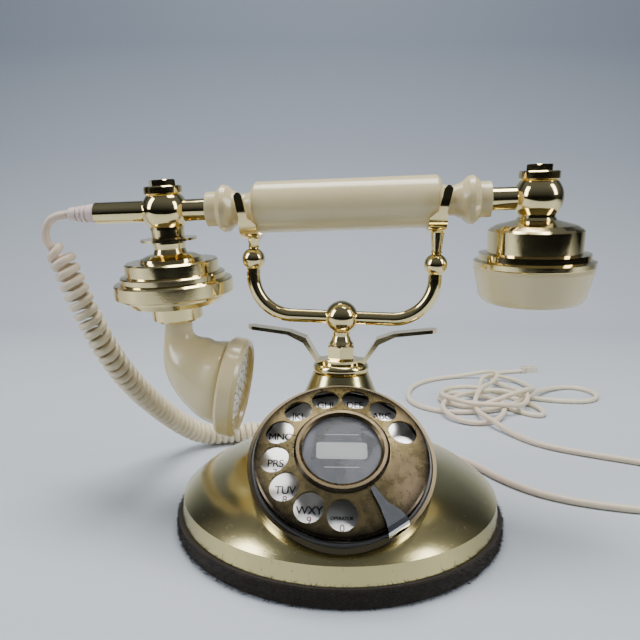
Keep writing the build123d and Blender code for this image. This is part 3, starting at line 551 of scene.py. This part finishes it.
# Handset cord: a short lead out of the sleeve, the sprung coil, then a lead into the back of the base.
sleeve_tip = handset_place @ (Vector((-141.05, 0, 0)) * MM)
lead_bend = handset_place @ (Vector((-150.3, 0, 0)) * MM)
handset_route = [sleeve_tip, lead_bend] + metres([
    (-153.6, 11.4, 147), (-150.4, 10.8, 138.6),
    (-145.6, 10.6, 138), (-141, 10.6, 124), (-134.4, 13.6, 104), (-127.6, 22, 82), (-120.6, 37, 61),
    (-113.6, 58, 42), (-106, 81, 23.5), (-93, 101, 7.4), (-70, 110, 7.4), (-47, 111, 7.4),
    (-38, 110.4, 7.8), (-28, 105, 9.6), (-23, 96, 12.4), round_base(82.4, 104, 13.6),
])
LEAD_LENGTH = 26 * MM
BASE_LEAD_LENGTH = 46 * MM
STEP = 0.25 * MM
PITCH_TOP = 5.7 * MM
PITCH_BASE = 4.55 * MM
EASE = 6.5 * MM

axis_points = even_steps(points_along(smooth_line("handset_route", handset_route)), STEP)
total = STEP * (len(axis_points) - 1)
coil_from, coil_to = LEAD_LENGTH, total - BASE_LEAD_LENGTH
cord_path = []
phase = math.pi
for i, (at, (_, side, other)) in enumerate(zip(axis_points, frames_along(axis_points, Vector((1, 0, 0))))):
    along = i * STEP
    into = min(max((along - coil_from) / EASE, 0.0), 1.0) * min(max((coil_to - along) / EASE, 0.0), 1.0)
    swell = COIL_RADIUS * into * into * (3 - 2 * into)
    if coil_from < along < coil_to:
        share = (along - coil_from) / (coil_to - coil_from)
        phase += 2 * math.pi * STEP / (PITCH_TOP + (PITCH_BASE - PITCH_TOP) * share)
    cord_path.append(at + swell * (math.cos(phase) * side + math.sin(phase) * other))
cord_path = even_steps(cord_path, 1.3 * MM)

joint_index = next(i for i in range(len(cord_path) - 1, 0, -1) if cord_path[i].xy.length > 111 * MM)
upper_path = cord_path[: joint_index + 1]
lower_path = cord_path[joint_index:]

upper_tube = tube_mesh("handset_cord", upper_path, CORD / 2, CORD_SIDES)
handset_cord = piece("handset_cord", upper_tube, handset_jacket)
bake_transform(handset_cord)
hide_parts("handset_coil")
line_length(upper_path)
lower_tube = tube_mesh("base_end", lower_path, CORD / 2, CORD_SIDES)
base_end = piece("handset_cord_base_end", lower_tube, handset_jacket)
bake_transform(base_end)
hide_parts("cord_leads")
line_length(lower_path)

# Line cord: from the back of the base round the right, into a loose tangle, and out to its plug.
line_route = metres([
    round_base(82.4, 62, 13.6), round_base(96, 61, 12), (64, 90, 3.2), (86, 72, 2.15), (98, 44, 2.15),
    (119, 21, 2.15), (150, 9, 2.15), (184, 4, 2.15), (214, 10, 2.15), (232, 30, 2.15), (226, 56, 2.15),
    (202, 74, 2.15), (168, 90, 2.15), (142, 106, 2.15), (129, 130, 2.15),
])
tangle_route = metres([
    (119, 151, 6.6), (114, 176, 5.1), (118, 201, 8.3), (132, 233, 11.5), (150, 266, 6.0),
    (164, 292, 10.3), (157, 309, 8.0), (131, 310, 2.5), (104, 300, 2.2), (78, 276, 2.15),
    (65, 240, 2.15), (65, 206, 2.15), (84, 184, 2.15), (109, 181, 2.15), (137, 190, 3.6),
    (162, 209, 5.9), (182, 237, 5.8), (202, 260, 2.7), (224, 271, 2.15), (240, 260, 2.15),
    (240, 237, 2.15), (224, 219, 2.15), (199, 219, 2.15), (173, 229, 2.15), (149, 236, 8.1),
    (121, 231, 6.2), (100, 213, 5.4), (87, 189, 6.6), (90, 164, 4.0), (107, 151, 2.15),
    (128, 160, 2.15), (141, 184, 7.1), (139, 211, 6.5), (125, 237, 2.15), (106, 245, 2.15),
    (91, 230, 2.15), (96, 208, 2.15), (116, 194, 2.15), (141, 196, 11.5), (166, 214, 14.2),
    (182, 240, 8.0), (185, 268, 3.8), (182, 291, 2.6), (166, 302, 4.5), (148, 291, 8.2),
    (137, 266, 2.15), (134, 238, 2.15), (140, 210, 2.15), (152, 185, 2.15), (166, 173, 2.15),
    (174, 187, 2.15), (169, 211, 2.15), (155, 235, 2.15), (132, 249, 6.8), (107, 248, 6.2),
    (92, 228, 6.6), (94, 200, 10.4), (111, 181, 9.5), (136, 177, 10.6), (158, 189, 6.3),
    (169, 216, 10.2), (167, 246, 5.4), (159, 275, 3.0),
])
tail_route = metres([
    (156, 292, 3), (158, 305, 2.15), (167, 321, 2.15), (182, 332, 2.15), (200, 337, 2.15),
])
line_curve = smooth_line("line_cord_line", line_route + tangle_route + tail_route)
line_points = points_along(line_curve.copy())
line_curve.bevel_depth = CORD / 2
line_curve.bevel_resolution = 4
line_curve.use_fill_caps = True
loose_cord = piece("loose_line_cord", line_curve, line_jacket)
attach(loose_cord, "base")
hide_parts("line_cord", "cord_bundle")
line_length(line_points)


# ---------------------------------------------------------------- dial lettering
HOLE_RING = 29.2
FIRST_HOLE = 22.0
HOLE_STEP = 27.6
PLATE_TOP = -3.8
BOLD = 0.07
LETTERS = ["", "ABC", "DEF", "GHI", "JKL", "MNO", "PRS", "TUV", "WXY", "OPERATOR"]


def lettering(name, lines, finish, body):
    """Printed characters standing a hair above the dial plane. lines are (text, x, y, size, height)."""
    whole = bmesh.new()
    for text, x, y, size, height in lines:
        curve = bpy.data.curves.new("characters", "FONT")
        curve.body = text
        curve.size = size * MM
        curve.align_x = "CENTER"
        curve.align_y = "CENTER"
        curve.space_character = 0.94
        curve.extrude = 0.02 * MM
        holder = bpy.data.objects.new("characters", curve)
        mesh = bpy.data.meshes.new_from_object(holder)
        narrow = Matrix.Diagonal((0.92, 1.0, 1.0, 1.0))
        mesh.transform(dial_place @ shift(x, y, height + 0.03) @ narrow)
        whole.from_mesh(mesh)
        bpy.data.objects.remove(holder)
        bpy.data.meshes.remove(mesh)
        bpy.data.curves.remove(curve)
    mesh = bpy.data.meshes.new(name)
    whole.to_mesh(mesh)
    whole.free()
    made = piece(name, mesh, finish)
    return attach(made, body)


letter_lines = []
digit_lines = []
for i, letters in enumerate(LETTERS):
    angle = math.radians(FIRST_HOLE + HOLE_STEP * i)
    x, y = HOLE_RING * math.cos(angle), HOLE_RING * math.sin(angle)
    if letters:
        size = 2.1 if len(letters) > 3 else 5.3
        # struck twice, a hair apart, for a bold stroke
        letter_lines.append((letters, x - BOLD, y + 2.0, size, PLATE_TOP))
        letter_lines.append((letters, x + BOLD, y + 2.05, size, PLATE_TOP + 0.01))
    digit_lines.append((str((i + 1) % 10), x, y - 2.4, 4.8, PLATE_TOP))
lettering("dial_letters", letter_lines, letter_ink, "base")
lettering("dial_digits", digit_lines, digit_ink, "base")


# ---------------------------------------------------------------- card label
def rounded_outline(half_width, half_height, corner, steps=6):
    points = []
    for turn, (sx, sy) in enumerate([(1, 1), (-1, 1), (-1, -1), (1, -1)]):
        for i in range(steps + 1):
            angle = math.radians(90 * turn + 90 * i / steps)
            x = sx * (half_width - corner) + corner * math.cos(angle)
            y = sy * (half_height - corner) + corner * math.sin(angle)
            points.append((x, y))
    return points


def thin_plate(shape, outline, bottom, top):
    """A flat plate on the dial, from its outline in millimetres."""
    lower = [shape.verts.new(dial_place @ (Vector((x, y, bottom)) * MM)) for x, y in outline]
    upper = [shape.verts.new(dial_place @ (Vector((x, y, top)) * MM)) for x, y in outline]
    shape.faces.new(upper)
    shape.faces.new(reversed(lower))
    for i in range(len(outline)):
        j = (i + 1) % len(outline)
        shape.faces.new((lower[i], lower[j], upper[j], upper[i]))


CARD_TOP = 4.55


def fill_label(shape):
    thin_plate(shape, rounded_outline(11.0, 4.2, 1.6), CARD_TOP + 0.01, CARD_TOP + 0.06)


def fill_rules(shape):
    for y in (-8.2, 8.2):
        outline = [(x, y + dy) for x, dy in ((-7.5, -0.22), (7.5, -0.22), (7.5, 0.22), (-7.5, 0.22))]
        thin_plate(shape, outline, CARD_TOP + 0.01, CARD_TOP + 0.06)


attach(piece("card_label", mesh_from("card_label", fill_label), label_white), "dial")
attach(piece("card_rules", mesh_from("card_rules", fill_rules), label_white), "dial")


# ---------------------------------------------------------------- felt pile
def fill_pile(shape):
    """Short curled fibres that stand out of the felt's side."""
    chance = random.Random(7)
    for _ in range(9000):
        angle = chance.uniform(0, 2 * math.pi)
        height = chance.uniform(0.4, 9.0) * MM
        out = Vector((math.cos(angle), math.sin(angle), 0))
        along = Vector((-math.sin(angle), math.cos(angle), 0))
        root = out * 82.9 * MM + UP * height
        lean = along * chance.uniform(-1.0, 1.0) + UP * chance.uniform(-0.5, 0.8)
        lean += out * chance.uniform(0.4, 1.0)
        reach = lean.normalized() * chance.uniform(0.6, 2.2) * MM
        curl = along * chance.uniform(-0.6, 0.6) * MM
        width = lean.cross(out).normalized() * 0.09 * MM
        middle, tip = root + reach * 0.55, root + reach + curl
        for spot in (middle, tip):
            spot.z = max(spot.z, 0.1 * MM)
        corners = [shape.verts.new(v) for v in (root - width, root + width, middle + width, middle - width)]
        end = shape.verts.new(tip)
        shape.faces.new(corners)
        shape.faces.new((corners[3], corners[2], end))


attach(piece("felt_pile", mesh_from("felt_pile", fill_pile), felt), "base")


# ---------------------------------------------------------------- studio
def studio_finish():
    finish = Finish("studio_sweep", {})
    cloud = finish.noise(2.5, 3)
    floor = finish.blend(cloud, rgba(0.52, 0.56, 0.61), rgba(0.47, 0.51, 0.56))
    finish.set({
        # painted shade: the colour darkens from the floor up the wall, between 0.02 and 0.50 m high
        "Base Color": finish.blend(finish.band(finish.part("Z"), 0.02, 0.50), floor, rgba(0.17, 0.20, 0.25)),
        "Roughness": finish.noise(60, 3) * 0.1 + 0.55,
    })
    return finish


def fill_sweep(shape):
    """Floor that curves up into a back wall."""
    profile = [(-0.45, 0.0), (0.62, 0.0)]
    for i in range(1, 13):
        angle = math.radians(90 * i / 12)
        profile.append((0.62 + 0.30 * math.sin(angle), 0.30 - 0.30 * math.cos(angle)))
    profile.append((0.92, 1.8))
    rows = [[shape.verts.new((x, y, z)) for x in (-2.2, 2.2)] for y, z in profile]
    for (a, b), (c, d) in zip(rows, rows[1:]):
        face = shape.faces.new((a, b, d, c))
        face.smooth = True


def soft_light(name, place, target, width, height, power, tone):
    data = bpy.data.lights.new(name, "AREA")
    data.shape = "RECTANGLE"
    data.size = width
    data.size_y = height
    data.energy = power
    data.color = tone
    lamp = bpy.data.objects.new(name, data)
    lamp.location = place
    lamp.rotation_mode = "QUATERNION"
    lamp.rotation_quaternion = (Vector(target) - Vector(place)).to_track_quat("-Z", "Y")
    bpy.context.collection.objects.link(lamp)


sweep = piece("studio_sweep", mesh_from("studio_sweep", fill_sweep), studio_finish())

soft_light("ceiling", (0.05, 0.10, 1.20), (0, 0, 0.05), 0.9, 0.5, 19.0, (1.0, 0.99, 0.97))
soft_light("left_window", (-1.10, -0.35, 0.70), (0, 0, 0.08), 0.35, 0.9, 11.0, (0.94, 0.97, 1.0))
soft_light("right_window", (1.10, -0.45, 0.75), (0, 0, 0.08), 0.30, 0.8, 9.0, (0.96, 0.98, 1.0))


def room_light():
    """Dim room: dark at eye level and brighter above."""
    world = bpy.data.worlds.new("room")
    world.use_nodes = True
    tree = world.node_tree
    place = tree.nodes.new("ShaderNodeTexCoord")
    split = tree.nodes.new("ShaderNodeSeparateXYZ")
    rise = tree.nodes.new("ShaderNodeMapRange")
    rise.inputs["From Min"].default_value = 0.0
    rise.inputs["From Max"].default_value = 0.7
    rise.inputs["To Min"].default_value = 0.01
    rise.inputs["To Max"].default_value = 0.16
    tree.links.new(place.outputs["Generated"], split.inputs[0])
    tree.links.new(split.outputs["Z"], rise.inputs["Value"])
    background = tree.nodes["Background"]
    background.inputs["Color"].default_value = (0.80, 0.88, 1.0, 1.0)
    tree.links.new(rise.outputs[0], background.inputs["Strength"])
    bpy.context.scene.world = world


room_light()
